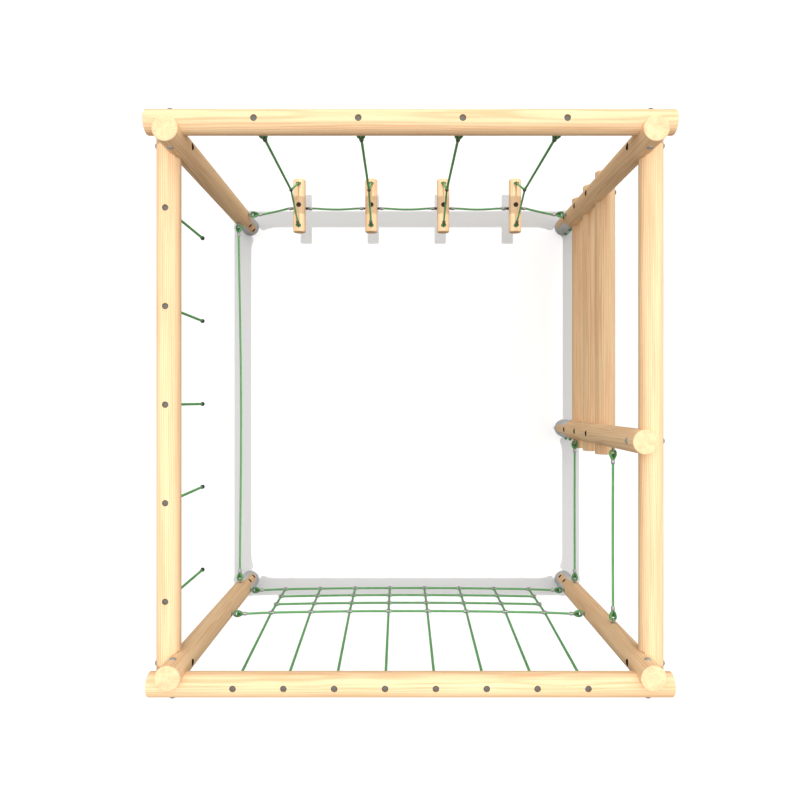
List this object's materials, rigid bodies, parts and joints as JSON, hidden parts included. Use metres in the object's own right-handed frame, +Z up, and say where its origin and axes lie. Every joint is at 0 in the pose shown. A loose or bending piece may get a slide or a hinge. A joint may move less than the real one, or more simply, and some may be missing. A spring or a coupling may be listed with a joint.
{
  "type": "climbing frame",
  "caption": "Free-standing round-wood climbing frame with a rope net, hanging log steps, hanging ropes, rope walks and a low log ladder between posts in steel shoes.",
  "frame": {"origin": "on the ground under the middle of the frame's footprint", "axes": "+Z up, +Y towards the side with the hanging steps, +X towards the side with the low logs"},
  "size_m": [2.898, 3.3545, 2.117],
  "materials": {
    "wood": "planed round timber, satin",
    "galvanised_steel": "galvanised",
    "aluminium": "satin",
    "green_rope": "twisted rope",
    "black_plastic": "moulded"
  },
  "bodies": {
    "frame": {"post_north_west": "wood", "post_north_east": "wood", "post_south_west": "wood", "post_south_east": "wood", "post_middle_east": "wood", "shoe_north_west": "galvanised_steel", "shoe_north_east": "galvanised_steel", "shoe_south_west": "galvanised_steel", "shoe_south_east": "galvanised_steel", "shoe_middle_east": "galvanised_steel", "north_rail": "wood", "south_rail": "wood", "west_rail": "wood", "east_rail": "wood", "east_log_1": "wood", "east_log_2": "wood", "east_log_3": "wood", "west_low_rope": "green_rope", "east_low_rope": "green_rope", "east_high_rope": "green_rope", "rope_net": "green_rope", "link_eye_west": "aluminium", "link_eye_east": "aluminium", "link_rope_west": "green_rope", "link_rope_east": "green_rope", "north_eye_bolt_1": "galvanised_steel", "north_eye_bolt_2": "galvanised_steel", "north_eye_bolt_3": "galvanised_steel", "north_eye_bolt_4": "galvanised_steel", "west_eye_bolt_1": "galvanised_steel", "west_eye_bolt_2": "galvanised_steel", "west_eye_bolt_3": "galvanised_steel", "west_eye_bolt_4": "galvanised_steel", "west_eye_bolt_5": "galvanised_steel"},
    "step_1": {"step_log_1": "wood", "step_rope_1": "green_rope", "step_link_bolt_1": "aluminium", "link_rope_1": "green_rope"},
    "step_2": {"step_log_2": "wood", "step_rope_2": "green_rope", "step_link_bolt_2": "aluminium", "link_rope_2": "green_rope"},
    "step_3": {"step_log_3": "wood", "step_rope_3": "green_rope", "step_link_bolt_3": "aluminium", "link_rope_3": "green_rope"},
    "step_4": {"step_log_4": "wood", "step_rope_4": "green_rope", "step_link_bolt_4": "aluminium"},
    "rope_1": {"hanging_rope_1": "green_rope", "rope_end_cap_1": "black_plastic"},
    "rope_2": {"hanging_rope_2": "green_rope", "rope_end_cap_2": "black_plastic"},
    "rope_3": {"hanging_rope_3": "green_rope", "rope_end_cap_3": "black_plastic"},
    "rope_4": {"hanging_rope_4": "green_rope", "rope_end_cap_4": "black_plastic"},
    "rope_5": {"hanging_rope_5": "green_rope", "rope_end_cap_5": "black_plastic"}
  },
  "joints": [
    {"name": "step_1_swing", "type": "hinge", "parent": "frame", "child": "step_1", "pos_m": [-0.84, 1.47275, 1.846], "axis": [1, 0, 0], "range_deg": [-3, 3], "deforming": ["link_rope_west"]},
    {"name": "step_2_swing", "type": "hinge", "parent": "frame", "child": "step_2", "pos_m": [-0.28, 1.47275, 1.846], "axis": [1, 0, 0], "range_deg": [-3, 3]},
    {"name": "step_3_swing", "type": "hinge", "parent": "frame", "child": "step_3", "pos_m": [0.28, 1.47275, 1.846], "axis": [1, 0, 0], "range_deg": [-3, 3]},
    {"name": "step_4_swing", "type": "hinge", "parent": "frame", "child": "step_4", "pos_m": [0.84, 1.47275, 1.846], "axis": [1, 0, 0], "range_deg": [-3, 3], "deforming": ["link_rope_east"]},
    {"name": "rope_1_swing", "type": "hinge", "parent": "frame", "child": "rope_1", "pos_m": [-1.373, -1.16925, 1.7587], "axis": [0, 1, 0], "range_deg": [-55, 55]},
    {"name": "rope_2_swing", "type": "hinge", "parent": "frame", "child": "rope_2", "pos_m": [-1.373, -0.61675, 1.7587], "axis": [0, 1, 0], "range_deg": [-55, 55]},
    {"name": "rope_3_swing", "type": "hinge", "parent": "frame", "child": "rope_3", "pos_m": [-1.373, -0.06425, 1.7587], "axis": [0, 1, 0], "range_deg": [-55, 55]},
    {"name": "rope_4_swing", "type": "hinge", "parent": "frame", "child": "rope_4", "pos_m": [-1.373, 0.48825, 1.7587], "axis": [0, 1, 0], "range_deg": [-55, 55]},
    {"name": "rope_5_swing", "type": "hinge", "parent": "frame", "child": "rope_5", "pos_m": [-1.373, 1.04075, 1.7587], "axis": [0, 1, 0], "range_deg": [-55, 55]}
  ],
  "couplings": [
    {"joint": "step_2_swing", "follows": "step_1_swing", "ratio": 1},
    {"joint": "step_3_swing", "follows": "step_1_swing", "ratio": 1},
    {"joint": "step_4_swing", "follows": "step_1_swing", "ratio": 1}
  ]
}
